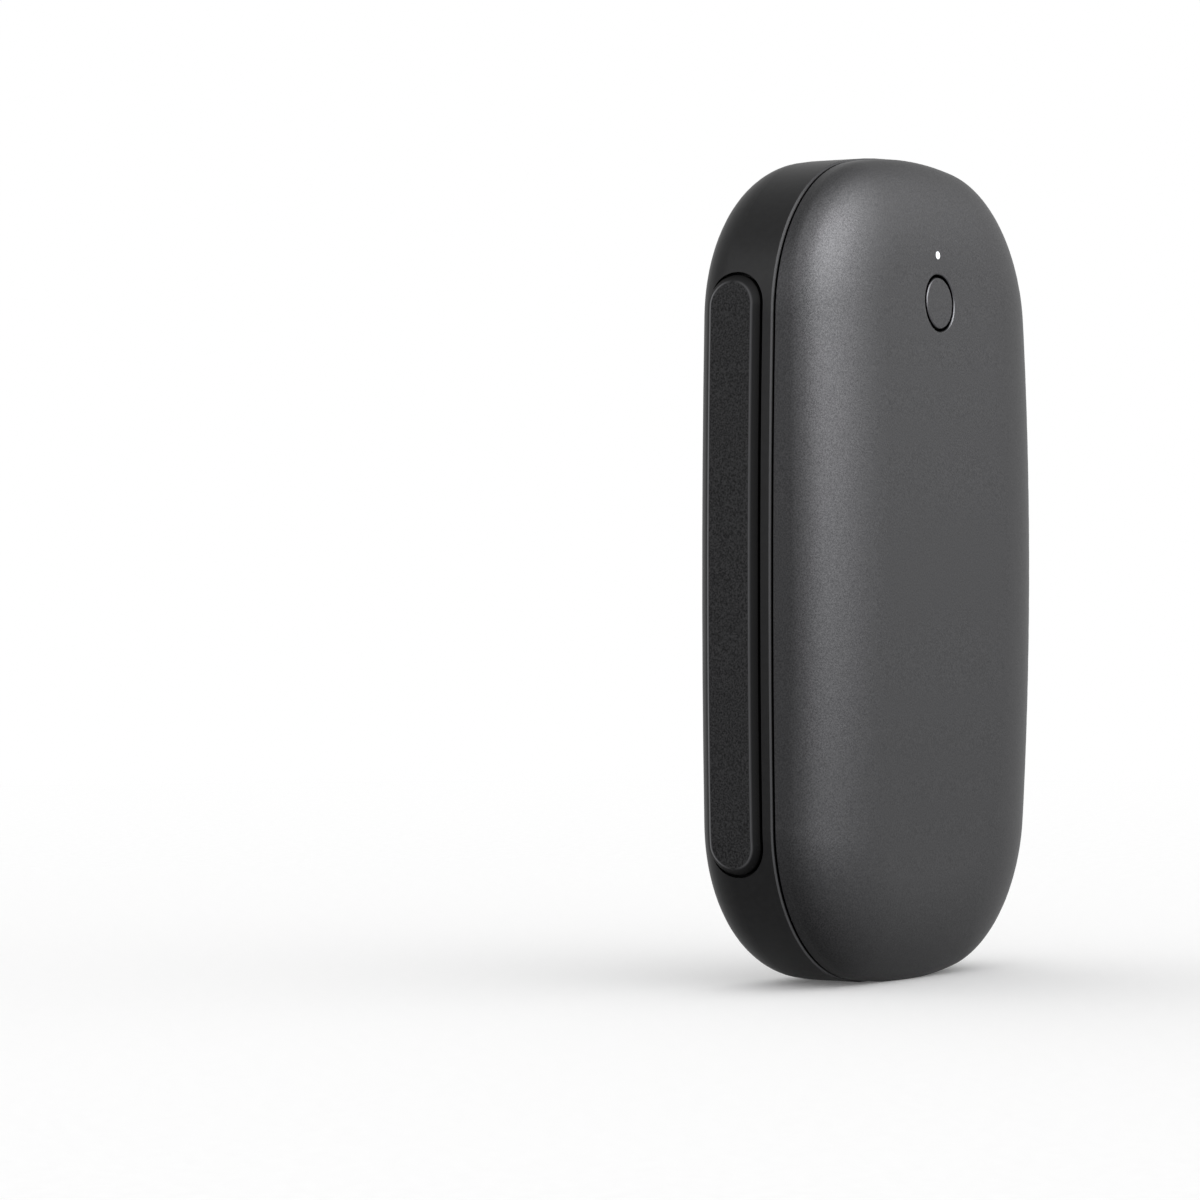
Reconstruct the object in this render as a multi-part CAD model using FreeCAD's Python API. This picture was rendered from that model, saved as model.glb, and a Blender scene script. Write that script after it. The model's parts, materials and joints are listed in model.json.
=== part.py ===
import FreeCAD, Part
import math
import os
from FreeCAD import Matrix, Vector

os.makedirs("parts", exist_ok=True)

# Rechargeable hand warmer, in millimetres
# x is the width, y the depth with the front at -y, z the height above the foot
# Pieces are drawn with y = 0 at the seam between the shells, and moved to their place on export

# Outline of the body: eight tangent arcs
body_width = 62.0
body_height = 110.0
side_bow_radius = 1050.0
end_bow_radius = 78.0
corner_radius = 21.7
foot_flat_width = 16.0

# Front shell: crowned along the height, with a wide elliptical shoulder, a step inside the housing's outline
front_depth = 8.0
shell_step = 0.2
crown_drop = 1.8
shoulder_width = 16.0
shoulder_share = 0.93
shell_wall = 1.3
shell_edge_break = 0.15

# Seam between the shells
seam_gap = 0.2
seam_groove_depth = 0.7
housing_lip_bevel = 0.28

# Rear housing
rear_depth = 13.6
rear_edge_radius = 6.6
housing_wall = 2.4
housing_floor = 1.6
tongue_clearance = 0.2
tongue_height = 0.9
boss_radius = 2.6
boss_fin_reach = 1.6
boss_fin_thickness = 1.0
boss_fin_share = 0.6
battery_rib_wall = 1.2
battery_rib_height = 4.0

# Side grips, one in a pocket of each side wall
grip_setback = 1.7
grip_rear_room = 3.1
grip_top_room = 16.4
grip_bottom_room = 14.8
grip_pocket_depth = 1.2
grip_gap = 0.42
grip_proud = 0.85
grip_peg_radius = 1.0
grip_peg_clearance = 0.1
grip_peg_inset = 15.4

# Power button
button_from_top = 19.5
button_radius = 3.45
button_gap = 0.35
button_edge_break = 0.2
button_flange_radius = 4.6
button_flange_thickness = 0.8
button_flange_clearance = 0.05
button_stem_radius = 1.6
collar_drop = 1.0
collar_wall = 1.0

# Status light above the button
light_side_room = 0.3
light_radius = 0.5
light_clearance = 0.06
guide_flange_radius = 1.5
guide_flange_thickness = 0.6
guide_rod_radius = 0.9
guide_land_radius = 2.2
led_width = 2.0
led_length = 1.25
led_thickness = 0.8
led_gap = 0.1

# Front stack: heater film, foam and clamping frame
film_thickness = 0.3
film_side_inset = 4.0
film_bottom_inset = 1.0
film_overhang = 4.0
film_corner_radius = 4.0
front_foam_thickness = 2.8
foam_glue = 0.05
frame_plate = 1.2
frame_margin = 0.6
frame_plate_radius = 6.0
frame_skirt_radius = 3.0
frame_skirt_wall = 1.0
frame_skirt_depth = 3.0
frame_post_radius = 3.0
frame_side_bar = 6.0
frame_spine_width = 10.0
frame_cross_bar = 4.0
frame_window_radius = 2.0
frame_window_rows = 3
thermistor_length = 1.6
thermistor_width = 0.9
thermistor_thickness = 0.7
thermistor_x = 8.0
thermistor_gap = 0.1
thermistor_glue = 0.02

# Battery: pouch cell with a sealing terrace that carries its protection board
battery_left_room = 11.5
battery_right_room = 6.5
battery_bottom = 17.0
battery_top_room = 37.0
rear_foam_thickness = 1.9
battery_edge_radius = 2.5
battery_gap = 0.4
terrace_inset = 8.0
terrace_height = 3.5
terrace_thickness = 0.6
protection_thickness = 1.0
tape_thickness = 0.2
tape_width = 4.0
lead_radius = 0.5
lead_spacing = 2.5
lead_length = 6.5

# Main board: C-shaped, round the battery
board_front = 1.0
board_thickness = 1.0
board_gap = 0.4
board_strip_gap = 2.0
board_window_gap = 1.8
screw_side_room = 15.0
screw_top_step = 8.0
screw_bottom_step = 5.0
screw_radius = 1.0
screw_hole_clearance = 0.15
screw_pilot_clearance = 0.05
screw_head_radius = 1.8
screw_head_height = 1.0
screw_head_clearance = 0.2
screw_bite = 4.0

# Tact switch on the board, under the button
switch_size = 6.0
switch_thickness = 1.6
switch_corner_radius = 0.5
switch_cover = 0.4
switch_floor = 0.3
switch_cavity_radius = 2.3
plunger_radius = 1.2
plunger_flange_radius = 1.9
plunger_flange_thickness = 0.3
plunger_clearance = 0.3
plunger_slack = 0.1
plunger_proud = 0.8
dome_radius = 1.9
dome_rise = 0.3
dome_thickness = 0.08
dome_flat_share = 0.35

# Parts soldered to the board
controller_size = 6.0
controller_thickness = 0.9
controller_x = -9.0
charger_size = 4.0
charger_thickness = 0.8
charger_z = 8.5
inductor_size = 6.6
inductor_thickness = 2.8
inductor_core_radius = 2.6
inductor_core_rise = 0.2
inductor_x = 9.4
inductor_step = 1.3
capacitor_length = 2.0
capacitor_width = 1.25
capacitor_thickness = 0.9
capacitor_count = 4
capacitor_pitch = 2.6
capacitor_row_step = 2.5
capacitor_row_x = 6.0
battery_plug_width = 5.6
battery_plug_height = 4.6
battery_plug_thickness = 3.0
film_plug_width = 2.4
film_plug_length = 8.0
film_plug_thickness = 1.2

# Heater film tails, each bent into its connector on the board strip
tail_width = 6.0
tail_thickness = 0.2
tail_bend_radius = 1.2
tail_drop = 1.5
tail_root = 0.5
tail_notch_gap = 0.6

# Charging port in the foot
port_width = 8.94
port_height = 3.2
port_length = 7.35
port_shell_wall = 0.3
port_recess = 0.6
port_clearance = 0.25
port_fit = 0.03
port_tongue_width = 6.6
port_tongue_thickness = 0.7
port_tongue_length = 4.45
port_base_length = 1.8

# Cuts reach this far past a face, and faces closer than the tolerance count as one
overrun = 1.0
match_tolerance = 0.01
outward_share = 0.7

# Worked-out places
half_width = body_width / 2
foot_cut = end_bow_radius - math.sqrt(end_bow_radius ** 2 - (foot_flat_width / 2) ** 2)
half_height = (body_height + foot_cut) / 2
mid_z = body_height - half_height
seam_y = (front_depth - rear_depth) / 2
button_height = body_height - button_from_top
light_height = button_height + button_flange_radius + guide_flange_radius + light_side_room
grip_pocket_width = rear_depth - grip_setback - grip_rear_room
grip_top = body_height - grip_top_room
grip_z = (grip_top + grip_bottom_room) / 2
grip_pocket_length = grip_top - grip_bottom_room
grip_peg_spacing = grip_pocket_length - 2 * grip_peg_inset

floor_y = rear_depth - housing_floor
film_back = -(front_depth - shell_wall - film_thickness)
frame_front = film_back + front_foam_thickness
frame_back = frame_front + frame_plate
battery_front = frame_back + tape_thickness
rear_film_front = floor_y - film_thickness
battery_back = rear_film_front - rear_foam_thickness
battery_width = body_width - battery_left_room - battery_right_room
battery_offset_x = (battery_left_room - battery_right_room) / 2
battery_left = battery_offset_x - battery_width / 2
battery_right = battery_offset_x + battery_width / 2
battery_top = body_height - battery_top_room
terrace_width = battery_width - 2 * terrace_inset
terrace_top = battery_top + terrace_height
film_width = battery_width - 2 * film_side_inset
film_bottom = battery_bottom + film_bottom_inset
film_top = battery_top + film_overhang
board_back = board_front + board_thickness
board_strip_x = battery_left - board_strip_gap
lead_y = board_back + battery_plug_thickness / 2
battery_plug_z = terrace_top + lead_length
port_y = board_back + port_height / 2
grip_y = grip_setback + grip_pocket_width / 2
strip_middle_x = (board_strip_x - half_width + housing_wall + board_gap) / 2
plunger_tip = board_front - switch_thickness - plunger_proud
screw_x = half_width - screw_side_room
screw_heights = (battery_bottom - screw_bottom_step, battery_top + screw_top_step)
screw_places = [(side * screw_x, z) for side in (-1, 1) for z in screw_heights]


def crown_at(depth, z):
    """Depth of a crowned face, depth deep at mid height, at the height z."""
    radius = (half_height ** 2 + crown_drop ** 2) / (2 * crown_drop)
    return depth - radius + math.sqrt(radius ** 2 - (z - mid_z) ** 2)


button_seat = -(crown_at(front_depth - shell_wall, button_height) - collar_drop)


def block(x0, x1, y0, y1, z0, z1):
    return Part.makeBox(x1 - x0, y1 - y0, z1 - z0, Vector(x0, y0, z0))


def rounded_block(x0, x1, y0, y1, z0, z1, radius):
    """A block with its four edges along y rounded."""
    plain = block(x0, x1, y0, y1, z0, z1)
    along_y = [edge for edge in plain.Edges if edge.BoundBox.YLength > (y1 - y0) / 2]
    return plain.makeFillet(radius, along_y)


def rod_y(x, z, radius, y0, y1):
    return Part.makeCylinder(radius, y1 - y0, Vector(x, y0, z), Vector(0, 1, 0))


def slot(centre, long_axis, short_axis, length, width, path):
    """A stadium of the given length and width, extruded along path."""
    run = long_axis * ((length - width) / 2)
    half = short_axis * (width / 2)
    tip = long_axis * (length / 2)
    corners = [centre + run + half, centre - run + half, centre - run - half, centre + run - half]
    edges = [
        Part.makeLine(corners[0], corners[1]),
        Part.Arc(corners[1], centre - tip, corners[2]).toShape(),
        Part.makeLine(corners[2], corners[3]),
        Part.Arc(corners[3], centre + tip, corners[0]).toShape(),
    ]
    return Part.Face(Part.Wire(edges)).extrude(path)


def outline_arcs():
    """Centre x, centre z, radius and end angles of each arc, counter-clockwise from the right side."""
    side_x = half_width - side_bow_radius
    end_z = half_height - end_bow_radius
    to_side = side_bow_radius - corner_radius
    to_end = end_bow_radius - corner_radius
    span = math.hypot(side_x, end_z)
    along = (to_side ** 2 - to_end ** 2 + span ** 2) / (2 * span)
    across = math.sqrt(to_side ** 2 - along ** 2)
    corner_x = side_x + (-side_x * along - end_z * across) / span
    corner_z = (end_z * along - side_x * across) / span
    low = math.atan2(corner_z, corner_x - side_x)
    high = math.atan2(corner_z - end_z, corner_x)
    turn = math.pi
    return [
        (side_x, 0, side_bow_radius, -low, low),
        (corner_x, corner_z, corner_radius, low, high),
        (0, end_z, end_bow_radius, high, turn - high),
        (-corner_x, corner_z, corner_radius, turn - high, turn - low),
        (-side_x, 0, side_bow_radius, turn - low, turn + low),
        (-corner_x, -corner_z, corner_radius, turn + low, turn + high),
        (0, -end_z, end_bow_radius, turn + high, 2 * turn - high),
        (corner_x, -corner_z, corner_radius, 2 * turn - high, 2 * turn - low),
    ]


def outline_wire(inset, y):
    """The body's outline drawn in by inset, in the plane y."""
    edges = []
    for centre_x, centre_z, radius, start, end in outline_arcs():
        points = []
        for angle in (start, (start + end) / 2, end):
            x = centre_x + (radius - inset) * math.cos(angle)
            z = mid_z + centre_z + (radius - inset) * math.sin(angle)
            points.append(Vector(x, y, z))
        edges.append(Part.Arc(*points).toShape())
    return Part.Wire(edges)


def outline_prism(inset, y0, y1):
    return Part.Face(outline_wire(inset, y0)).extrude(Vector(0, y1 - y0, 0))


def outline_ring(outer_inset, inner_inset, y0, y1):
    hole = outline_prism(inner_inset, y0 - overrun, y1 + overrun)
    return outline_prism(outer_inset, y0, y1).cut(hole)


def edge_bevel(inset, y, size, into):
    """Cutter for a 45 degree bevel on the edge at this inset in the plane y; into is the material's side."""
    start = y - into * size
    end = y + into * size
    wide = outline_prism(inset - 2 * size, min(start, end), max(start, end))
    taper = [outline_wire(inset + 2 * size, start), outline_wire(inset, end)]
    return wide.cut(Part.makeLoft(taper, True, True))


def above_foot(shape):
    """The shape with its lowest stretch cut off flat, to stand on."""
    reach = body_width + body_height
    return shape.common(block(-reach, reach, -reach, reach, 0, reach))


def crown_block(depth, drop):
    """Everything behind a face that bows along the height: depth at mid height, drop less at the ends."""
    radius = (half_height ** 2 + drop ** 2) / (2 * drop)
    reach = half_height + overrun
    end_y = -depth + radius - math.sqrt(radius ** 2 - reach ** 2)
    x = -half_width - overrun
    low = Vector(x, end_y, mid_z - reach)
    high = Vector(x, end_y, mid_z + reach)
    edges = [
        Part.Arc(low, Vector(x, -depth, mid_z), high).toShape(),
        Part.makeLine(high, Vector(x, overrun, mid_z + reach)),
        Part.makeLine(Vector(x, overrun, mid_z + reach), Vector(x, overrun, mid_z - reach)),
        Part.makeLine(Vector(x, overrun, mid_z - reach), low),
    ]
    return Part.Face(Part.Wire(edges)).extrude(Vector(-2 * x, 0, 0))


def pillow(inset, depth):
    """The crowned front form. A round fillet, made on a stretched body, becomes the elliptical shoulder."""
    shoulder = shoulder_width - inset
    stretch = shoulder / ((depth - crown_drop) * shoulder_share)
    slab = outline_prism(inset, 0, -depth * stretch)
    slab = slab.common(crown_block(depth * stretch, crown_drop * stretch)).removeSplitter()
    rim = [edge for edge in slab.Edges if edge.BoundBox.YMax < -match_tolerance]
    rounded = slab.makeFillet(shoulder, rim)
    squash = Matrix()
    squash.scale(1, 1 / stretch, 1)
    squashed = rounded.transformGeometry(squash).Solids[0]
    squashed.fix(match_tolerance, match_tolerance, match_tolerance)
    return squashed


shell_outside = above_foot(pillow(shell_step, front_depth))
shell_crown = crown_block(front_depth, crown_drop)
shell_inside = pillow(shell_wall, front_depth - shell_wall)
film_inside = pillow(shell_wall + film_thickness, front_depth - shell_wall - film_thickness)
foam_inset = shell_wall + film_thickness + foam_glue
foam_inside = pillow(foam_inset, front_depth - foam_inset)


def rear_tub(inset, y0, y1, radius):
    """The outline drawn in by inset, with the edge at the back rounded."""
    prism = outline_prism(inset, y0, y1)
    back = [edge for edge in prism.Edges if edge.BoundBox.YMin > y1 - match_tolerance]
    return prism.makeFillet(radius, back)


def mouth_bevel(radius):
    """Cone that breaks the edge of the button's hole, square to the crown there."""
    crown_radius = (half_height ** 2 + crown_drop ** 2) / (2 * crown_drop)
    tilt = math.asin((button_height - mid_z) / crown_radius)
    outwards = Vector(0, -math.cos(tilt), math.sin(tilt))
    surface = Vector(0, -crown_at(front_depth, button_height), button_height)
    reach = 2 * button_edge_break
    narrow = radius - button_edge_break
    return Part.makeCone(narrow, narrow + 2 * reach, 2 * reach, surface - outwards * reach, outwards)


def front_shell():
    front = -front_depth - overrun
    shell = shell_outside.cut(shell_inside).cut(edge_bevel(shell_step, 0, shell_edge_break, -1))
    collar = rod_y(0, button_height, button_flange_radius + collar_wall, front, button_seat)
    land = rod_y(0, light_height, guide_land_radius, front, button_seat)
    shell = shell.fuse(shell_outside.common(collar.fuse(land)))
    shell = shell.cut(rod_y(0, light_height, light_radius + light_clearance, front, overrun))
    hole_radius = button_radius + button_gap
    shell = shell.cut(rod_y(0, button_height, hole_radius, front, overrun))
    return shell.cut(mouth_bevel(hole_radius))


def perimeter_seal():
    return outline_ring(seam_groove_depth, shell_wall, 0, seam_gap)


def grip_stadium(side, gap, x_inner, x_outer):
    """A stadium prism through one side wall, gap smaller all round than the pocket."""
    centre = Vector(side * x_inner, grip_y, grip_z)
    length = grip_pocket_length - 2 * gap
    width = grip_pocket_width - 2 * gap
    path = Vector(side * (x_outer - x_inner), 0, 0)
    return slot(centre, Vector(0, 0, 1), Vector(0, 1, 0), length, width, path)


def grip_pegs(side, radius):
    """Two pegs through the housing wall, behind the grip."""
    pegs = []
    for z in (grip_z - grip_peg_spacing / 2, grip_z + grip_peg_spacing / 2):
        start = Vector(side * (half_width - 2 * housing_wall), grip_y, z)
        pegs.append(Part.makeCylinder(radius, 2 * housing_wall, start, Vector(side, 0, 0)))
    return pegs[0].fuse(pegs[1])


def side_grip(side):
    """A pad that follows the bow of the side wall, bevelled all round where it stands proud."""
    y0 = -overrun
    y1 = rear_depth + overrun
    pad = grip_stadium(side, grip_gap, half_width - 3 * housing_wall, half_width + 2 * grip_proud)
    pad = pad.common(outline_prism(-grip_proud, y0, y1)).cut(outline_prism(grip_pocket_depth, y0, y1))
    outer_faces = [face for face in pad.Faces if face_is_proud(face, side)]
    pad = pad.makeChamfer(grip_proud, outer_edges(outer_faces))
    pegs = grip_pegs(side, grip_peg_radius)
    pegs = pegs.common(outline_prism(grip_pocket_depth, y0, y1)).cut(outline_prism(housing_wall, y0, y1))
    return pad.fuse(pegs).removeSplitter()


def face_is_proud(face, side):
    """True for a face of the grip that looks outwards."""
    u0, u1, v0, v1 = face.ParameterRange
    normal = face.normalAt((u0 + u1) / 2, (v0 + v1) / 2)
    return normal.x * side > outward_share


def outer_edges(faces):
    """The edges that belong to only one of the faces."""
    edges = [edge for face in faces for edge in face.Edges]
    return [edge for edge in edges if sum(edge.isSame(other) for other in edges) == 1]


def boss(x, z):
    """A screw boss from the floor to the board, with two crossed fins."""
    reach = boss_radius + boss_fin_reach
    half = boss_fin_thickness / 2
    root = floor_y + housing_floor / 2
    fin_front = floor_y - (floor_y - board_back) * boss_fin_share
    shape = rod_y(x, z, boss_radius, board_back, root)
    shape = shape.fuse(block(x - reach, x + reach, fin_front, root, z - half, z + half))
    shape = shape.fuse(block(x - half, x + half, fin_front, root, z - reach, z + reach))
    pilot_radius = screw_radius + screw_pilot_clearance
    return shape.cut(rod_y(x, z, pilot_radius, board_back - overrun, board_back + screw_bite))


def battery_ribs():
    """A low rib round the battery, with a notch for the rear heater's tail."""
    gap = battery_gap
    wall = battery_gap + battery_rib_wall
    front = floor_y - battery_rib_height
    back = floor_y + housing_floor / 2
    ribs = block(battery_left - wall, battery_right + wall, front, back,
                 battery_bottom - wall, battery_top + wall)
    bay = block(battery_left - gap, battery_right + gap, front - overrun, back + overrun,
                battery_bottom - gap, battery_top + gap)
    notch_half = tail_width / 2 + tail_notch_gap
    notch = block(battery_left - wall - overrun, battery_left, front - overrun, floor_y,
                  mid_z - notch_half, mid_z + notch_half)
    return ribs.cut(bay).cut(notch)


def port_slot(length, width, z0, z1):
    return slot(Vector(0, port_y, z0), Vector(1, 0, 0), Vector(0, 1, 0), length, width, Vector(0, 0, z1 - z0))


def rear_housing():
    outside = above_foot(rear_tub(0, seam_gap, rear_depth, rear_edge_radius))
    outside = outside.cut(edge_bevel(0, seam_gap, housing_lip_bevel, 1))
    tongue_inset = shell_wall + tongue_clearance
    tongue = outline_prism(tongue_inset, -tongue_height, seam_gap + overrun)
    cavity_radius = rear_edge_radius - housing_wall
    cavity = rear_tub(housing_wall, -tongue_height - overrun, floor_y, cavity_radius)
    tub = outside.fuse(tongue).cut(cavity)
    inside_limit = rear_tub(housing_wall / 2, 0, rear_depth - housing_floor / 2,
                            cavity_radius + housing_wall / 2)
    inner_walls = battery_ribs()
    for x, z in screw_places:
        inner_walls = inner_walls.fuse(boss(x, z))
    tub = tub.fuse(inner_walls.common(inside_limit))
    for side in (-1, 1):
        pocket = grip_stadium(side, 0, half_width - 3 * housing_wall, half_width + overrun)
        pocket = pocket.cut(outline_prism(grip_pocket_depth, -overrun, rear_depth + overrun))
        tub = tub.cut(pocket).cut(grip_pegs(side, grip_peg_radius + grip_peg_clearance))
    port = port_slot(port_width + 2 * port_clearance, port_height + 2 * port_clearance,
                     -overrun, housing_wall + overrun)
    return tub.cut(port).removeSplitter()


def power_button():
    """Cap cut from the shell's own crown, retaining flange and stem."""
    front = -front_depth - overrun
    flange_front = button_seat + button_flange_clearance
    flange_back = flange_front + button_flange_thickness
    cap = shell_crown.common(rod_y(0, button_height, button_radius, front, flange_back))
    front_edges = [edge for edge in cap.Edges if edge.BoundBox.YMax < button_seat]
    rim = [edge for edge in front_edges if edge.BoundBox.XLength > button_radius]
    cap = cap.makeChamfer(button_edge_break, rim)
    flange = rod_y(0, button_height, button_flange_radius, flange_front, flange_back)
    stem = rod_y(0, button_height, button_stem_radius, flange_back, plunger_tip)
    return cap.fuse(flange).fuse(stem).removeSplitter()


def light_guide():
    front = -front_depth - overrun
    flange_back = button_seat + guide_flange_thickness
    led_front = board_front - led_thickness
    tip = shell_crown.common(rod_y(0, light_height, light_radius, front, flange_back))
    flange = rod_y(0, light_height, guide_flange_radius, button_seat, flange_back)
    rod = rod_y(0, light_height, guide_rod_radius, flange_back, led_front - led_gap)
    return tip.fuse(flange).fuse(rod).removeSplitter()


def status_led():
    return block(-led_width / 2, led_width / 2, board_front - led_thickness, board_front,
                 light_height - led_length / 2, light_height + led_length / 2)


def inner_frame():
    """Plate over the battery with windows, a skirt that locates the cell and four screw posts."""
    wall = battery_gap + frame_skirt_wall
    margin = wall + frame_margin
    plate = rounded_block(battery_left - margin, battery_right + margin, frame_front, frame_back,
                          battery_bottom - margin, battery_top + margin, frame_plate_radius)
    for x, z in screw_places:
        inner_z = battery_bottom if z < mid_z else battery_top
        ear = block(x - frame_post_radius, x + frame_post_radius, frame_front, frame_back,
                    min(z, inner_z), max(z, inner_z))
        plate = plate.fuse(ear).fuse(rod_y(x, z, frame_post_radius, frame_front, board_front))
    skirt = rounded_block(battery_left - wall, battery_right + wall,
                          frame_back, frame_back + frame_skirt_depth,
                          battery_bottom - wall, battery_top + wall, frame_skirt_radius)
    bay = block(battery_left - battery_gap, battery_right + battery_gap, frame_back, frame_back + rear_depth,
                battery_bottom - battery_gap, battery_top + battery_gap)
    plate = plate.fuse(skirt).cut(bay)
    window_width = (battery_width - frame_spine_width - 2 * frame_side_bar) / 2
    window_pitch = (battery_top - battery_bottom - frame_cross_bar) / frame_window_rows
    for x in (battery_left + frame_side_bar, battery_right - frame_side_bar - window_width):
        for row in range(frame_window_rows):
            z = battery_bottom + frame_cross_bar + row * window_pitch
            plate = plate.cut(rounded_block(x, x + window_width, frame_front - overrun, frame_back + overrun,
                                            z, z + window_pitch - frame_cross_bar, frame_window_radius))
    for x, z in screw_places:
        hole = rod_y(x, z, screw_radius + screw_hole_clearance, frame_front, board_front + overrun)
        head = rod_y(x, z, screw_head_radius + screw_head_clearance, frame_front - overrun,
                     frame_front + screw_head_height)
        plate = plate.cut(hole).cut(head)
    return plate.removeSplitter()


def frame_screws():
    screws = []
    for x, z in screw_places:
        seat = frame_front + screw_head_height
        head = rod_y(x, z, screw_head_radius, frame_front, seat)
        shank = rod_y(x, z, screw_radius, seat, board_back + screw_bite - screw_radius)
        screws.append(head.fuse(shank).removeSplitter())
    return Part.makeCompound(screws)


def battery_cell():
    body = block(battery_left, battery_right, battery_front, battery_back, battery_bottom, battery_top)
    level = [edge for edge in body.Edges if edge.BoundBox.ZLength < match_tolerance]
    body = body.makeFillet(battery_edge_radius, level)
    terrace_front = lead_y + protection_thickness / 2
    terrace = block(battery_offset_x - terrace_width / 2, battery_offset_x + terrace_width / 2,
                    terrace_front, terrace_front + terrace_thickness,
                    battery_top - battery_edge_radius, terrace_top)
    return body.fuse(terrace).removeSplitter()


def battery_tape():
    """Two adhesive strips between the cell and the frame, outside its windows."""
    strips = []
    for side in (-1, 1):
        x = battery_offset_x + side * (battery_width / 2 - battery_edge_radius - tape_width / 2)
        strips.append(block(x - tape_width / 2, x + tape_width / 2, frame_back, battery_front,
                            battery_bottom + battery_edge_radius, battery_top - battery_edge_radius))
    return Part.makeCompound(strips)


def protection_board():
    half = protection_thickness / 2
    return block(battery_offset_x - terrace_width / 2, battery_offset_x + terrace_width / 2,
                 lead_y - half, lead_y + half, battery_top, terrace_top)


def battery_lead(side):
    """A short straight lead from the protection board up to the plug on the board's back."""
    start = Vector(battery_offset_x + side * lead_spacing / 2, lead_y, terrace_top)
    return Part.makeCylinder(lead_radius, lead_length, start, Vector(0, 0, 1))


def battery_connector():
    return block(battery_offset_x - battery_plug_width / 2, battery_offset_x + battery_plug_width / 2,
                 board_back, board_back + battery_plug_thickness,
                 battery_plug_z, battery_plug_z + battery_plug_height)


def main_board():
    """The housing's inner outline less the battery's bay, which leaves one strip on the left."""
    board = outline_prism(housing_wall + board_gap, board_front, board_back)
    bay = block(board_strip_x, half_width, board_front - overrun, board_back + overrun,
                battery_bottom - board_window_gap, terrace_top + board_window_gap / 2)
    board = board.cut(bay)
    for x, z in screw_places:
        board = board.cut(rod_y(x, z, screw_radius + screw_hole_clearance, board_front - overrun,
                                board_back + overrun))
    return board


def switch_body():
    half = switch_size / 2
    front = board_front - switch_thickness
    body = rounded_block(-half, half, front, board_front, button_height - half, button_height + half,
                         switch_corner_radius)
    inside = front + switch_cover
    cavity = rod_y(0, button_height, switch_cavity_radius, inside, board_front - switch_floor)
    opening = rod_y(0, button_height, plunger_radius + plunger_clearance, front - overrun, inside)
    return body.cut(cavity).cut(opening)


def switch_plunger():
    flange_front = board_front - switch_thickness + switch_cover + plunger_slack
    flange_back = flange_front + plunger_flange_thickness
    flange = rod_y(0, button_height, plunger_flange_radius, flange_front, flange_back)
    return flange.fuse(rod_y(0, button_height, plunger_radius, plunger_tip, flange_front)).removeSplitter()


def switch_dome():
    """A thin spring cap on the switch's floor: a flat top and a conical skirt."""
    floor = board_front - switch_floor
    top_radius = dome_radius * dome_flat_share
    profile = [
        Vector(0, floor - dome_rise, button_height),
        Vector(top_radius, floor - dome_rise, button_height),
        Vector(dome_radius, floor - dome_thickness, button_height),
        Vector(dome_radius, floor, button_height),
        Vector(top_radius, floor - dome_rise + dome_thickness, button_height),
        Vector(0, floor - dome_rise + dome_thickness, button_height),
    ]
    face = Part.Face(Part.makePolygon(profile + profile[:1]))
    return face.revolve(Vector(0, 0, button_height), Vector(0, 1, 0), 360)


def chip(x, z, size, thickness):
    half = size / 2
    return block(x - half, x + half, board_front - thickness, board_front, z - half, z + half)


def power_inductor():
    z = button_height + inductor_step
    body = chip(inductor_x, z, inductor_size, inductor_thickness)
    front = board_front - inductor_thickness
    return body.fuse(rod_y(inductor_x, z, inductor_core_radius, front - inductor_core_rise, front))


def capacitors():
    parts = []
    z = light_height + capacitor_row_step
    for index in range(capacitor_count):
        x = capacitor_row_x + index * capacitor_pitch
        parts.append(block(x - capacitor_width / 2, x + capacitor_width / 2,
                           board_front - capacitor_thickness, board_front,
                           z - capacitor_length / 2, z + capacitor_length / 2))
    return Part.makeCompound(parts)


def heater_connectors():
    """One connector on each face of the board strip, open towards its heater film."""
    half_x = film_plug_width / 2
    half_z = film_plug_length / 2
    left = strip_middle_x - half_x
    right = strip_middle_x + half_x
    front = block(left, right, board_front - film_plug_thickness, board_front, mid_z - half_z, mid_z + half_z)
    back = block(left, right, board_back, board_back + film_plug_thickness, mid_z - half_z, mid_z + half_z)
    return Part.makeCompound([front, back])


def bent_strip(start, corner, end):
    """A flat tail in an xy plane from start to end, rounded at the corner and centred at mid height."""
    first = (start - corner).normalize()
    second = (end - corner).normalize()
    half_angle = first.getAngle(second) / 2
    trim = tail_bend_radius / math.tan(half_angle)
    inner = (first + second).normalize()
    centre = corner + inner * (tail_bend_radius / math.sin(half_angle))
    bend = [corner + first * trim, centre - inner * tail_bend_radius, corner + second * trim]
    path = Part.Wire([
        Part.makeLine(start, bend[0]),
        Part.Arc(*bend).toShape(),
        Part.makeLine(bend[2], end),
    ])
    across = Vector(-first.y, first.x, 0) * (tail_thickness / 2)
    up = Vector(0, 0, tail_width / 2)
    corners = [start + across + up, start - across + up, start - across - up, start + across - up]
    section = Part.makePolygon(corners + corners[:1])
    return path.makePipeShell([section], True, False)


def front_heater_film():
    half = film_width / 2
    sheet = rounded_block(-half, half, -front_depth, 0, film_bottom, film_top, film_corner_radius)
    film = sheet.common(shell_inside).cut(film_inside)
    root_y = film_back - film_thickness / 2
    start = Vector(-half + tail_root, root_y, mid_z)
    corner = Vector(strip_middle_x, root_y + tail_drop, mid_z)
    end = Vector(strip_middle_x, board_front - film_plug_thickness, mid_z)
    return film.fuse(bent_strip(start, corner, end)).removeSplitter()


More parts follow.
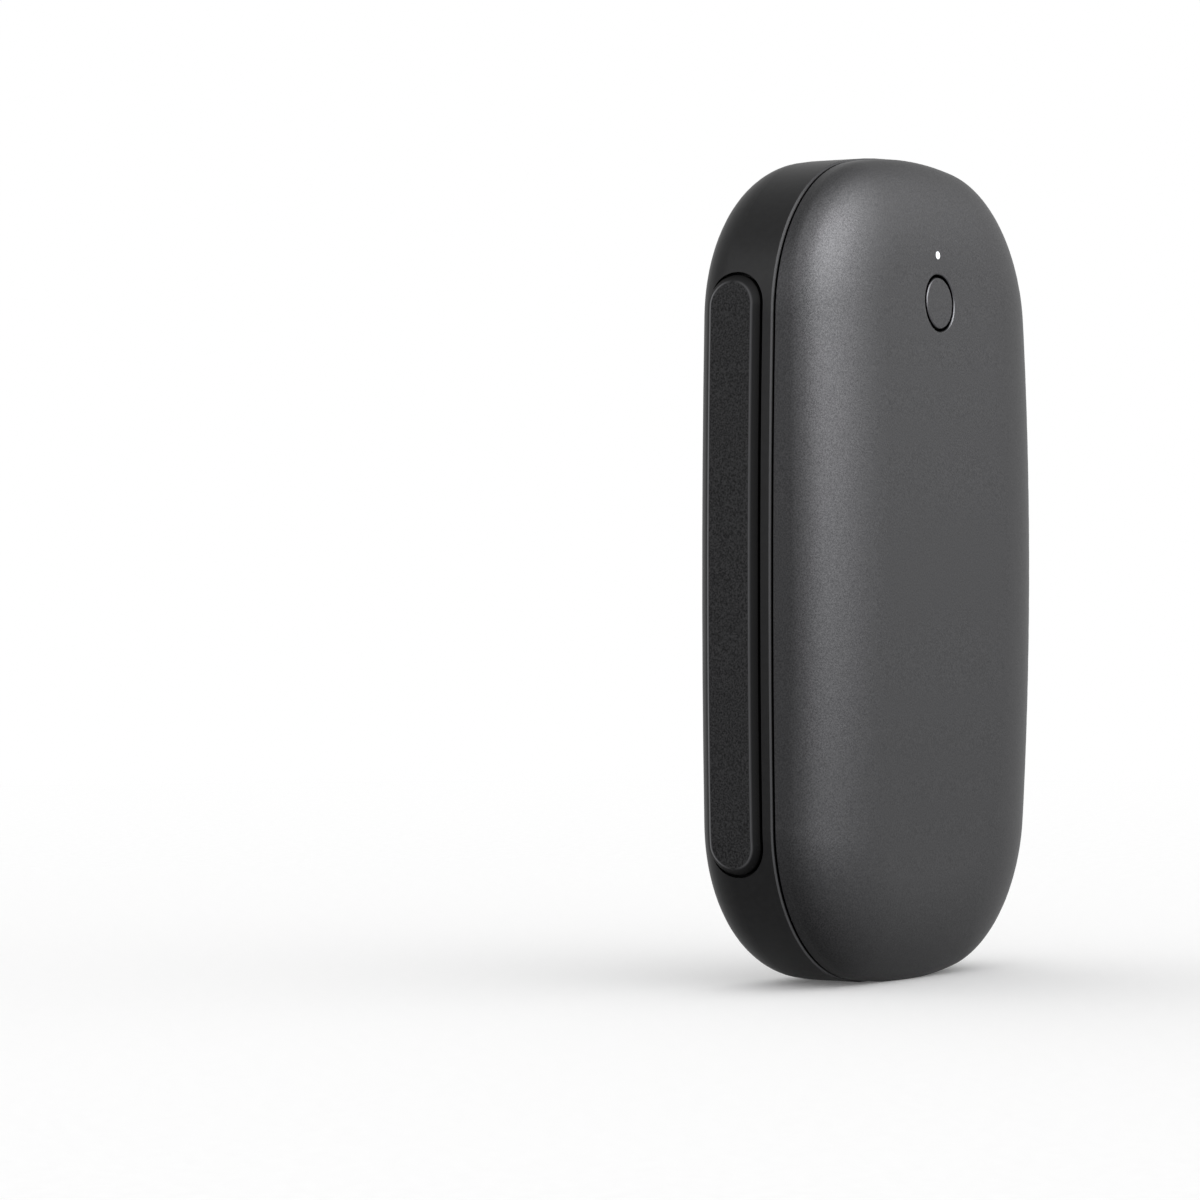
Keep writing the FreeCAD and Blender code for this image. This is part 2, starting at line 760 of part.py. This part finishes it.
def front_foam():
    """Foam between the film and the frame, hollowed for the thermistor."""
    half = film_width / 2
    foam = rounded_block(-half, half, -front_depth, frame_front, film_bottom, film_top, film_corner_radius)
    foam = foam.common(foam_inside)
    tail = block(-half - overrun, -half + tail_root, -front_depth, frame_front,
                 mid_z - tail_width / 2 - tail_notch_gap, mid_z + tail_width / 2 + tail_notch_gap)
    return foam.cut(tail).cut(thermistor_block(thermistor_gap, -front_depth))


def thermistor_block(gap, y0):
    x = thermistor_x
    return block(x - thermistor_length / 2 - gap, x + thermistor_length / 2 + gap,
                 y0, film_back + thermistor_thickness + gap,
                 mid_z - thermistor_width / 2 - gap, mid_z + thermistor_width / 2 + gap)


def thermistor():
    return thermistor_block(0, film_back + thermistor_glue)


def rear_heater_film():
    half = film_width / 2
    left = battery_offset_x - half
    film = rounded_block(left, battery_offset_x + half, rear_film_front, floor_y,
                         battery_bottom + battery_edge_radius, battery_top - battery_edge_radius,
                         film_corner_radius)
    middle = rear_film_front + film_thickness / 2
    start = Vector(left + tail_root, middle, mid_z)
    corner = Vector(strip_middle_x, middle, mid_z)
    end = Vector(strip_middle_x, board_back + film_plug_thickness, mid_z)
    return film.fuse(bent_strip(start, corner, end)).removeSplitter()


def rear_foam():
    half = film_width / 2
    return rounded_block(battery_offset_x - half, battery_offset_x + half, battery_back, rear_film_front,
                         battery_bottom + battery_edge_radius, battery_top - battery_edge_radius,
                         film_corner_radius)


def usb_shell():
    z0 = port_recess
    tube = port_slot(port_width, port_height, z0, z0 + port_length)
    bore = port_slot(port_width - 2 * port_shell_wall, port_height - 2 * port_shell_wall,
                     z0 - overrun, z0 + port_length + overrun)
    return tube.cut(bore)


def usb_tongue():
    """Insulator that closes the back of the port, with the contact tongue in front of it."""
    back = port_recess + port_length
    base_front = back - port_base_length
    inset = port_shell_wall + port_fit
    base = port_slot(port_width - 2 * inset, port_height - 2 * inset, base_front, back)
    half = port_tongue_thickness / 2
    tongue = block(-port_tongue_width / 2, port_tongue_width / 2, port_y - half, port_y + half,
                   base_front - port_tongue_length, base_front)
    return base.fuse(tongue).removeSplitter()


nodes = {
    "front_shell": front_shell(),
    "rear_housing": rear_housing(),
    "perimeter_seal": perimeter_seal(),
    "side_grip_left": side_grip(-1),
    "side_grip_right": side_grip(1),
    "power_button": power_button(),
    "light_guide": light_guide(),
    "status_led": status_led(),
    "inner_frame": inner_frame(),
    "frame_screws": frame_screws(),
    "battery_cell": battery_cell(),
    "battery_tape": battery_tape(),
    "protection_board": protection_board(),
    "battery_lead_positive": battery_lead(1),
    "battery_lead_negative": battery_lead(-1),
    "battery_connector": battery_connector(),
    "main_board": main_board(),
    "switch_body": switch_body(),
    "switch_plunger": switch_plunger(),
    "switch_dome": switch_dome(),
    "controller_chip": chip(controller_x, button_height, controller_size, controller_thickness),
    "charger_chip": chip(0, charger_z, charger_size, charger_thickness),
    "power_inductor": power_inductor(),
    "capacitors": capacitors(),
    "heater_connectors": heater_connectors(),
    "front_heater_film": front_heater_film(),
    "thermistor": thermistor(),
    "front_foam": front_foam(),
    "rear_heater_film": rear_heater_film(),
    "rear_foam": rear_foam(),
    "usb_shell": usb_shell(),
    "usb_tongue": usb_tongue(),
}

for name, shape in nodes.items():
    placed = shape.translated(Vector(0, seam_y, 0))
    placed.exportStep("parts/" + name + ".step")
    print(name, len(placed.Solids), "solid", placed.isValid(), round(placed.Volume, 3))
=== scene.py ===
import json
import math

import bmesh
import bpy
from mathutils import Matrix, Vector


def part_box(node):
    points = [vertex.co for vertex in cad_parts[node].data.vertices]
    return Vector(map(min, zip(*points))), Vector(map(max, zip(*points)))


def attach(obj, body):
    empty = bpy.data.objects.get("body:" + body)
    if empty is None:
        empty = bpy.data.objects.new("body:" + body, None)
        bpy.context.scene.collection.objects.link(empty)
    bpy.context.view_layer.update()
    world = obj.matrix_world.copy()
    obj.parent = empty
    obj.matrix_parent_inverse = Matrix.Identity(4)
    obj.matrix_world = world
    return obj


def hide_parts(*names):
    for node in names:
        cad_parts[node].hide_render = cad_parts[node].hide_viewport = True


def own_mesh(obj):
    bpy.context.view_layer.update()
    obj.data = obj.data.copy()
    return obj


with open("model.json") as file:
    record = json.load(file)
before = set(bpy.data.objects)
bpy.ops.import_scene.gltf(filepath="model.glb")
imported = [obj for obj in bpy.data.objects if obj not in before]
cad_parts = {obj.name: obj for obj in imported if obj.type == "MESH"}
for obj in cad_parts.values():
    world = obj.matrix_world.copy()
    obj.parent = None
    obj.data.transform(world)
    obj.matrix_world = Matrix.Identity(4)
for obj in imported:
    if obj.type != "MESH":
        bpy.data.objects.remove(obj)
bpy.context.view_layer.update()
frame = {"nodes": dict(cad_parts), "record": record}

MM = 0.001

# The housing's lip along the seam: its bevel, painted paler as a highlight, and the painted shade at its
# front where the groove begins
LIP_WIDTH = 0.28 * MM
LIP_BLEND = 0.03 * MM
LIP_SHADE = 0.07 * MM

# Width of the painted shade on the front shell's rim in the same groove
SHELL_RIM_SHADE = 0.15 * MM

# The grip's bevel, and the line where the bevel meets the face, painted paler as a highlight
PAD_BEVEL = 0.85 * MM
PAD_EDGE = 0.2 * MM

# Radii around the button's axis: the zone of the cut edges, and the walls of the gap
CUT_EDGE_INNER = 3.2 * MM
CUT_EDGE_OUTER = 4.05 * MM
CUT_EDGE_BLEND = 0.02 * MM
BUTTON_GAP_MIDDLE = 3.62 * MM
BUTTON_GAP_HALF = 0.26 * MM

# The cut edges lean at 45 degrees; the margin tells them from the walls and the front
CUT_EDGE_FACING = -math.sqrt(0.5)
CUT_EDGE_MARGIN = 0.2

# Drawn widths of the shell's blasted dents and of the grip's pebbles, in millimetres
DENT_MM = 0.2
PEBBLE_MM = 0.24

# Near black, painted as shade on walls that hardly any light reaches
SHADE_BLACK = "#060607"

# Camera: a long lens at half the body's height, turned so that the left side and the front show
IMAGE_WIDTH = 1200
FOCAL_PIXELS = 4759.4
SENSOR_WIDTH = 36.0
CLIP_START = 0.01
CAMERA_HEIGHT = 55.0 * MM
CAMERA_PITCH = math.radians(0.372)
BODY_RIGHT = 37.03 * MM
BODY_AHEAD = 641.2 * MM
BODY_TURN = math.radians(59.53)

# Stage, in metres: the floor fades out between two radii, and a faint glow lifts it to the white behind it
FLOOR_SIZE = 2.0
FLOOR_FADE = (0.25, 0.7)
FLOOR_LIFT = 0.1
WORLD_LEVEL = 0.95

# Softboxes turned to the body's middle: name, place, width and height in metres, and watts
BODY_MIDDLE = (0, 0, 0.055)
SOFTBOXES = [
    ("low_softbox", (0.34, -1.35, 0.25), 1.12, 0.52, 17.5),
    ("high_softbox", (0.34, -1.18, 0.73), 0.98, 0.54, 60.0),
    ("fill_softbox", (-0.72, -0.72, 1.01), 1.81, 2.19, 62.0),
    ("rim_softbox", (-1.11, 0.64, 0.62), 1.12, 0.91, 12.0),
]

# Moulded, cast and coated pieces: slot, material, two close tones, roughness, grain width and depth in mm,
# and the level of the sheen
MOULDED = [
    # Dull black that swallows the light in the seam
    ("seal_rubber", "black_silicone_gasket", "#050505", "#080808", 0.7, 0.3, 0.005, 0.1),
    # Glossy, faintly yellow
    ("led_package", "clear_cast_resin", "#e8e6d6", "#f2f0e2", 0.25, 0.4, 0.002, 0.5),
    # Plain mid grey with a satin sheen
    ("frame_plastic", "grey_abs_moulded", "#5c5d5f", "#646567", 0.5, 0.4, 0.006, 0.35),
    # Matt, off-white
    ("adhesive_tape", "acrylic_tape", "#d9d7cc", "#e4e2d8", 0.6, 0.5, 0.004, 0.35),
    # Glossy dark green lacquer
    ("board_laminate", "green_solder_mask_on_glass_epoxy", "#1d5a36", "#22643d", 0.3, 0.6, 0.003, 0.5),
    # Smooth coloured sleeves with a soft gloss
    ("wire_red", "red_pvc_insulation", "#a81c1c", "#b42424", 0.35, 0.3, 0.003, 0.5),
    ("wire_black", "black_pvc_insulation", "#1c1c1d", "#232324", 0.35, 0.3, 0.003, 0.5),
    # Milky cream and satin black nylon
    ("connector_nylon", "natural_nylon_moulded", "#dcd9cf", "#e6e3da", 0.45, 0.35, 0.004, 0.35),
    ("switch_plastic", "black_nylon_moulded", "#202021", "#272728", 0.45, 0.25, 0.004, 0.35),
    # Matt charcoal
    ("chip_resin", "black_epoxy_moulded", "#1c1c1e", "#232325", 0.55, 0.2, 0.004, 0.35),
    # Dry brown
    ("component_ceramic", "brown_sintered_ceramic", "#8a7560", "#95806b", 0.5, 0.2, 0.003, 0.5),
    # Glossy amber
    ("heater_film", "amber_polyimide_film", "#b9822f", "#c58e3a", 0.25, 1.0, 0.003, 0.5),
    # Dry grey with shallow dimples
    ("foam", "closed_cell_foam", "#565656", "#686868", 0.85, 0.6, 0.12, 0.1),
    # Satin black
    ("port_insulator", "black_lcp_moulded", "#161617", "#1c1c1d", 0.5, 0.25, 0.004, 0.35),
]

# Plain metals: slot, material, two close tones, roughness, grain width and depth in mm
METALS = [
    # Bright neutral silver
    ("steel", "nickel_plated_steel", "#b4b5b8", "#c2c3c6", 0.3, 0.15, 0.002),
    # Silver foil with shallow dents
    ("battery_pouch", "aluminium_laminate_pouch", "#c2c4c8", "#cdcfd2", 0.35, 1.2, 0.02),
]


def linear(hex_colour):
    """An sRGB hex colour as linear red, green, blue and alpha."""
    values = [int(hex_colour[i:i + 2], 16) / 255 for i in (1, 3, 5)]
    return [v / 12.92 if v <= 0.04045 else ((v + 0.055) / 1.055) ** 2.4 for v in values] + [1.0]


def per_metre(width_mm):
    """The scale of a pattern whose grains are this wide."""
    return 1 / (width_mm * MM)


def add(tree, kind, inputs=(), **settings):
    """One node with its settings; an input takes a value or another node's output."""
    node = tree.nodes.new(kind)
    for name, value in settings.items():
        setattr(node, name, value)
    for name, value in dict(inputs).items():
        if isinstance(value, bpy.types.NodeSocket):
            tree.links.new(value, node.inputs[name])
        else:
            node.inputs[name].default_value = value
    return node


def blank_material(name):
    """A new material with only its Object coordinates: the material, its tree and the coordinates."""
    material = bpy.data.materials.new(name)
    material.use_nodes = True
    tree = material.node_tree
    tree.nodes.clear()
    place = add(tree, "ShaderNodeTexCoord").outputs["Object"]
    return material, tree, place


def finish_material(tree, shader):
    add(tree, "ShaderNodeOutputMaterial", {"Surface": shader.outputs[0]})


def mottled(tree, place, low, high, width_mm):
    """A patchy colour between two close tones."""
    noise = add(tree, "ShaderNodeTexNoise", {
        "Vector": place, "Scale": per_metre(width_mm), "Detail": 1.0})
    patches = add(tree, "ShaderNodeMapRange", {
        "Value": noise.outputs["Fac"], "From Min": 0.3, "From Max": 0.7})
    mix = add(tree, "ShaderNodeMix", {
        "Factor": patches.outputs["Result"], "A": linear(low), "B": linear(high)}, data_type="RGBA")
    return mix.outputs["Result"]


def grain(tree, place, width_mm, depth_mm, share=1.0):
    """A fine irregular relief, as a normal; the share tells how much of it shows."""
    noise = add(tree, "ShaderNodeTexNoise", {
        "Vector": place, "Scale": per_metre(width_mm), "Detail": 1.0})
    bump = add(tree, "ShaderNodeBump", {
        "Height": noise.outputs["Fac"], "Distance": depth_mm * MM, "Strength": share})
    return bump.outputs["Normal"]


def varied_roughness(tree, place, low, high, width_mm):
    """Roughness that drifts between two values in soft patches."""
    noise = add(tree, "ShaderNodeTexNoise", {
        "Vector": place, "Scale": per_metre(width_mm), "Detail": 3.0})
    span = add(tree, "ShaderNodeMapRange", {
        "Value": noise.outputs["Fac"], "To Min": low, "To Max": high})
    return span.outputs["Result"]


def graphite_aluminium():
    """Aluminium, bead-blasted and anodised graphite: dark satin metal, a fine sparkle and wide highlights.

    The beads leave dents of about 0.1 mm; they are drawn 0.2 mm wide, or they would not show. The slanted
    edges at the button were cut after the blasting, so they are smoother; they are also painted paler, as a
    highlight. The walls of the button's gap and the shell's rim in the seam are painted near black, as shade.
    """
    material, tree, place = blank_material("graphite_anodised_aluminium_bead_blasted")
    low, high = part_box("power_button")
    offset = add(tree, "ShaderNodeVectorMath", {0: place, 1: (low + high) / 2}, operation="SUBTRACT")
    offset = add(tree, "ShaderNodeVectorMath", {0: offset.outputs[0], 1: (1, 0, 1)}, operation="MULTIPLY")
    radius = add(tree, "ShaderNodeVectorMath", {0: offset.outputs[0]}, operation="LENGTH").outputs["Value"]
    outside = add(tree, "ShaderNodeMapRange", {
        "Value": radius, "From Min": CUT_EDGE_INNER, "From Max": CUT_EDGE_INNER + CUT_EDGE_BLEND})
    inside = add(tree, "ShaderNodeMapRange", {
        "Value": radius, "From Min": CUT_EDGE_OUTER, "From Max": CUT_EDGE_OUTER - CUT_EDGE_BLEND})
    ring = add(tree, "ShaderNodeMath", {
        0: outside.outputs["Result"], 1: inside.outputs["Result"]}, operation="MULTIPLY")
    facing = add(tree, "ShaderNodeTexCoord").outputs["Normal"]
    facing = add(tree, "ShaderNodeSeparateXYZ", {"Vector": facing}).outputs["Y"]
    slanted = add(tree, "ShaderNodeMath", {
        0: facing, 1: CUT_EDGE_FACING, 2: CUT_EDGE_MARGIN}, operation="COMPARE")
    cut_and_highlight = add(tree, "ShaderNodeMath", {
        0: ring.outputs[0], 1: slanted.outputs[0]}, operation="MULTIPLY").outputs[0]
    # Painted shade: the walls of the button's gap and the shell's rim in the seam go near black
    gap = add(tree, "ShaderNodeMath", {
        0: radius, 1: BUTTON_GAP_MIDDLE, 2: BUTTON_GAP_HALF}, operation="COMPARE")
    depth = add(tree, "ShaderNodeSeparateXYZ", {"Vector": place}).outputs["Y"]
    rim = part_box("perimeter_seal")[0][1] - SHELL_RIM_SHADE
    behind = add(tree, "ShaderNodeMath", {0: depth, 1: rim}, operation="GREATER_THAN")
    painted_shade = add(tree, "ShaderNodeMath", {0: gap.outputs[0], 1: behind.outputs[0]}, operation="MAXIMUM")
    blasted = mottled(tree, place, "#232324", "#303031", DENT_MM)
    # The cut edges: smoother metal, with a paler colour painted on them as a highlight
    colour = add(tree, "ShaderNodeMix", {
        "Factor": cut_and_highlight, "A": blasted, "B": linear("#48484a")}, data_type="RGBA")
    colour = add(tree, "ShaderNodeMix", {
        "Factor": painted_shade.outputs[0], "A": colour.outputs["Result"], "B": linear(SHADE_BLACK)}, data_type="RGBA")
    satin = varied_roughness(tree, place, 0.48, 0.54, 0.5)
    rough = add(tree, "ShaderNodeMapRange", {"Value": cut_and_highlight, "To Min": satin, "To Max": 0.35})
    shader = add(tree, "ShaderNodeBsdfPrincipled", {
        "Base Color": colour.outputs["Result"],
        "Metallic": 1.0,
        "Roughness": rough.outputs["Result"],
        "Normal": grain(tree, place, DENT_MM, 0.005),
    })
    finish_material(tree, shader)
    return material


def moulded_plastic(name, low, high, roughness, grain_mm, depth_mm, level):
    """A moulded plastic: two close tones, the mould's fine grain and its own level of sheen."""
    material, tree, place = blank_material(name)
    shader = add(tree, "ShaderNodeBsdfPrincipled", {
        "Base Color": mottled(tree, place, low, high, 3 * grain_mm),
        "Roughness": varied_roughness(tree, place, roughness - 0.04, roughness + 0.04, 6 * grain_mm),
        "Specular IOR Level": level,
        "Normal": grain(tree, place, grain_mm, depth_mm),
    })
    finish_material(tree, shader)
    return material


def black_housing():
    """ABS moulded in a spark-eroded tool: matt black and faintly grained.

    The lip along the seam is smoother, painted paler as a highlight; its front is painted near black as
    shade.
    """
    material, tree, place = blank_material("black_abs_spark_eroded")
    lip_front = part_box("perimeter_seal")[1][1]
    lip_back = lip_front + LIP_WIDTH
    depth = add(tree, "ShaderNodeSeparateXYZ", {"Vector": place}).outputs["Y"]
    lip = add(tree, "ShaderNodeMapRange", {
        "Value": depth, "From Min": lip_back, "From Max": lip_back - LIP_BLEND}).outputs["Result"]
    # Painted shade: the lip's front goes near black where the groove begins
    groove_shade = add(tree, "ShaderNodeMath", {0: depth, 1: lip_front + LIP_SHADE}, operation="LESS_THAN")
    skin = mottled(tree, place, "#111112", "#151516", 0.9)
    # The lip: smoother, with a paler colour painted on as a highlight
    colour = add(tree, "ShaderNodeMix", {
        "Factor": lip, "A": skin, "B": linear("#4e4e50")}, data_type="RGBA")
    colour = add(tree, "ShaderNodeMix", {
        "Factor": groove_shade.outputs[0], "A": colour.outputs["Result"], "B": linear(SHADE_BLACK)}, data_type="RGBA")
    rough = add(tree, "ShaderNodeMapRange", {"Value": lip, "To Min": 0.42, "To Max": 0.25})
    shader = add(tree, "ShaderNodeBsdfPrincipled", {
        "Base Color": colour.outputs["Result"],
        "Roughness": rough.outputs["Result"],
        "Specular IOR Level": 0.1,
        "Normal": grain(tree, place, 0.3, 0.006),
    })
    finish_material(tree, shader)
    return material


def pebbled_silicone():
    """Silicone moulded with a pebbled face: matt and grainy inside its smooth bevel.

    The line between the two is painted paler as a highlight, most at the back, and the bevel is painted
    darker towards its pocket, as shade. The pebbles are drawn 0.24 mm wide.
    """
    material, tree, place = blank_material("black_silicone_pebbled")
    low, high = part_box("side_grip_left")
    end_radius = (high[1] - low[1]) / 2
    straight = (high[2] - low[2]) / 2 - end_radius
    face_radius = end_radius - PAD_BEVEL

    # Distance from the grip's middle line tells the face from the bevel, along the sides and round the ends
    offset = add(tree, "ShaderNodeVectorMath", {0: place, 1: (low + high) / 2}, operation="SUBTRACT")
    offset = add(tree, "ShaderNodeVectorMath", {0: offset.outputs[0]}, operation="ABSOLUTE").outputs[0]
    aside = add(tree, "ShaderNodeSeparateXYZ", {"Vector": offset}).outputs["Y"]
    aside = add(tree, "ShaderNodeMapRange", {"Value": aside, "From Max": face_radius})
    offset = add(tree, "ShaderNodeVectorMath", {0: offset, 1: (0, 0, straight)}, operation="SUBTRACT")
    offset = add(tree, "ShaderNodeVectorMath", {0: offset.outputs[0], 1: (0, 0, 0)}, operation="MAXIMUM")
    offset = add(tree, "ShaderNodeVectorMath", {0: offset.outputs[0], 1: (0, 1, 1)}, operation="MULTIPLY")
    radius = add(tree, "ShaderNodeVectorMath", {0: offset.outputs[0]}, operation="LENGTH").outputs["Value"]

    face = add(tree, "ShaderNodeMapRange", {
        "Value": radius, "From Min": face_radius, "From Max": face_radius - PAD_EDGE}).outputs["Result"]
    from_edge = add(tree, "ShaderNodeMath", {0: radius, 1: face_radius}, operation="SUBTRACT")
    from_edge = add(tree, "ShaderNodeMath", {0: from_edge.outputs[0]}, operation="ABSOLUTE")
    edge = add(tree, "ShaderNodeMapRange", {
        "Value": from_edge.outputs[0], "From Min": PAD_EDGE, "From Max": 0})
    edge = add(tree, "ShaderNodeMath", {
        0: edge.outputs["Result"], 1: aside.outputs["Result"]}, operation="MULTIPLY")
    # Painted highlight along the face's edge, paler towards the back
    depth = add(tree, "ShaderNodeSeparateXYZ", {"Vector": place}).outputs["Y"]
    behind = add(tree, "ShaderNodeMapRange", {
        "Value": depth, "From Min": low[1], "From Max": high[1]})
    edge_highlight = add(tree, "ShaderNodeMix", {
        "Factor": behind.outputs["Result"], "A": linear("#4c4c4e"), "B": linear("#7a7a7c")}, data_type="RGBA")
    # Painted shade: the bevel darkens towards its pocket
    outward = add(tree, "ShaderNodeMapRange", {
        "Value": radius, "From Min": face_radius, "From Max": end_radius})
    bevel_shade = add(tree, "ShaderNodeMix", {
        "Factor": outward.outputs["Result"], "A": linear("#1e1e1f"), "B": linear("#030303")},
        data_type="RGBA")
    pebbles = mottled(tree, place, "#141415", "#343435", PEBBLE_MM)
    colour = add(tree, "ShaderNodeMix", {
        "Factor": face, "A": bevel_shade.outputs["Result"], "B": pebbles}, data_type="RGBA")
    colour = add(tree, "ShaderNodeMix", {
        "Factor": edge.outputs[0], "A": colour.outputs["Result"], "B": edge_highlight.outputs["Result"]},
        data_type="RGBA")
    shader = add(tree, "ShaderNodeBsdfPrincipled", {
        "Base Color": colour.outputs["Result"],
        "Roughness": varied_roughness(tree, place, 0.52, 0.62, 1.0),
        "Specular IOR Level": 0.04,
        "Normal": grain(tree, place, PEBBLE_MM, 0.08, face),
    })
    finish_material(tree, shader)
    return material


def plain_metal(name, low, high, roughness, grain_mm, depth_mm):
    """A metal part as stamped, drawn or rolled: two close tones and a faint grain."""
    material, tree, place = blank_material(name)
    shader = add(tree, "ShaderNodeBsdfPrincipled", {
        "Base Color": mottled(tree, place, low, high, 2 * grain_mm),
        "Metallic": 1.0,
        "Roughness": varied_roughness(tree, place, roughness - 0.05, roughness + 0.05, 4 * grain_mm),
        "Normal": grain(tree, place, grain_mm, depth_mm),
    })
    finish_material(tree, shader)
    return material


def lit_polycarbonate():
    """Milky polycarbonate lit from behind: an even white glow."""
    material, tree, place = blank_material("milky_polycarbonate_lit")
    shader = add(tree, "ShaderNodeBsdfPrincipled", {
        "Base Color": mottled(tree, place, "#eef0f2", "#ffffff", 0.4),
        "Roughness": 0.35,
        "Emission Color": linear("#f4f8ff"),
        "Emission Strength": 1.0,
    })
    finish_material(tree, shader)
    return material


def seen_share(tree):
    """1 for rays from the camera, from gloss and through clear pieces, and 0 for light on matt surfaces."""
    ray = add(tree, "ShaderNodeLightPath")
    seen = add(tree, "ShaderNodeMath", {
        0: ray.outputs["Is Camera Ray"], 1: ray.outputs["Is Glossy Ray"]}, operation="MAXIMUM")
    seen = add(tree, "ShaderNodeMath", {
        0: seen.outputs[0], 1: ray.outputs["Is Transmission Ray"]}, operation="MAXIMUM")
    return seen.outputs[0]


def white_floor():
    """Matt white studio paper: bright enough to meet the white background, and it takes the shadow."""
    material, tree, place = blank_material("white_studio_paper")
    paper = add(tree, "ShaderNodeBsdfDiffuse", {"Color": mottled(tree, place, "#f6f6f6", "#f9f9f9", 2.0)})
    lift = add(tree, "ShaderNodeMath", {0: seen_share(tree), 1: FLOOR_LIFT}, operation="MULTIPLY")
    glow = add(tree, "ShaderNodeEmission", {"Color": linear("#ffffff"), "Strength": lift.outputs[0]})
    both = add(tree, "ShaderNodeAddShader", {0: paper.outputs[0], 1: glow.outputs[0]})
    radius = add(tree, "ShaderNodeVectorMath", {0: place}, operation="LENGTH")
    fade = add(tree, "ShaderNodeMapRange", {
        "Value": radius.outputs["Value"], "From Min": FLOOR_FADE[0], "From Max": FLOOR_FADE[1]})
    beyond = add(tree, "ShaderNodeBsdfTransparent")
    faded = add(tree, "ShaderNodeMixShader", {
        0: fade.outputs["Result"], 1: both.outputs[0], 2: beyond.outputs[0]})
    finish_material(tree, faded)
    return material


def make_spring_cap():
    """The switch's spring cap in its own, unpressed shape; the plunger presses the real cap flat, to its
    sheet's thickness.
    """
    node = frame["nodes"]["switch_dome"]
    cap = bpy.data.objects.new("switch_spring_cap", node.data.copy())
    bpy.context.collection.objects.link(cap)
    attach(cap, "body")
    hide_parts("switch_dome")
    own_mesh(cap)


def make_floor():
    mesh = bmesh.new()
    bmesh.ops.create_grid(mesh, x_segments=1, y_segments=1, size=FLOOR_SIZE / 2)
    data = bpy.data.meshes.new("floor")
    mesh.to_mesh(data)
    mesh.free()
    floor = bpy.data.objects.new("floor", data)
    bpy.context.collection.objects.link(floor)
    floor.data.materials.append(white_floor())


def make_world():
    """Even ambient light at a plain level; the camera and reflections see a white studio."""
    world = bpy.data.worlds.new("white_studio")
    bpy.context.scene.world = world
    world.use_nodes = True
    tree = world.node_tree
    tree.nodes.clear()
    level = add(tree, "ShaderNodeMapRange", {
        "Value": seen_share(tree), "To Min": WORLD_LEVEL, "To Max": 1.0})
    sky = add(tree, "ShaderNodeBackground", {
        "Color": linear("#ffffff"), "Strength": level.outputs["Result"]})
    add(tree, "ShaderNodeOutputWorld", {"Surface": sky.outputs[0]})


def make_lamp(name, place, width, height, watts):
    """A softbox turned to the body that only shows in the gloss; the white studio lights the rest evenly."""
    lamp = bpy.data.lights.new(name, "AREA")
    lamp.shape = "RECTANGLE"
    lamp.size = width
    lamp.size_y = height
    lamp.energy = watts
    holder = bpy.data.objects.new(name, lamp)
    holder.location = place
    holder.visible_diffuse = False
    holder.rotation_euler = (Vector(BODY_MIDDLE) - Vector(place)).to_track_quat("-Z", "Y").to_euler()
    bpy.context.collection.objects.link(holder)


def make_camera():
    """The body stands ahead and to the right of the lens axis, as far and as turned as in the photograph."""
    turn = BODY_TURN - math.atan2(BODY_RIGHT, BODY_AHEAD)
    away = Matrix.Rotation(-turn, 3, "Z")
    place = away @ Vector((-BODY_RIGHT, -BODY_AHEAD, 0))
    look = away @ Vector((0, math.cos(CAMERA_PITCH), -math.sin(CAMERA_PITCH)))
    lens = bpy.data.cameras.new("camera")
    lens.sensor_width = SENSOR_WIDTH
    lens.lens = FOCAL_PIXELS / IMAGE_WIDTH * SENSOR_WIDTH
    lens.clip_start = CLIP_START
    camera = bpy.data.objects.new("camera", lens)
    camera.location = (place.x, place.y, CAMERA_HEIGHT)
    camera.rotation_euler = look.to_track_quat("-Z", "Y").to_euler()
    bpy.context.collection.objects.link(camera)
    bpy.context.scene.camera = camera


materials = {
    "graphite_aluminium": graphite_aluminium(),
    "black_housing": black_housing(),
    "black_rubber": pebbled_silicone(),
    "light_guide": lit_polycarbonate(),
}
for slot, *finish in MOULDED:
    materials[slot] = moulded_plastic(*finish)
for slot, *finish in METALS:
    materials[slot] = plain_metal(*finish)

for part in frame["record"]["subparts"]:
    node = frame["nodes"][part["node"]]
    node.data.materials.clear()
    node.data.materials.append(materials[part["material_slot"]])

make_spring_cap()
make_floor()
make_world()
for softbox in SOFTBOXES:
    make_lamp(*softbox)
make_camera()

bpy.context.scene.view_settings.view_transform = "Standard"
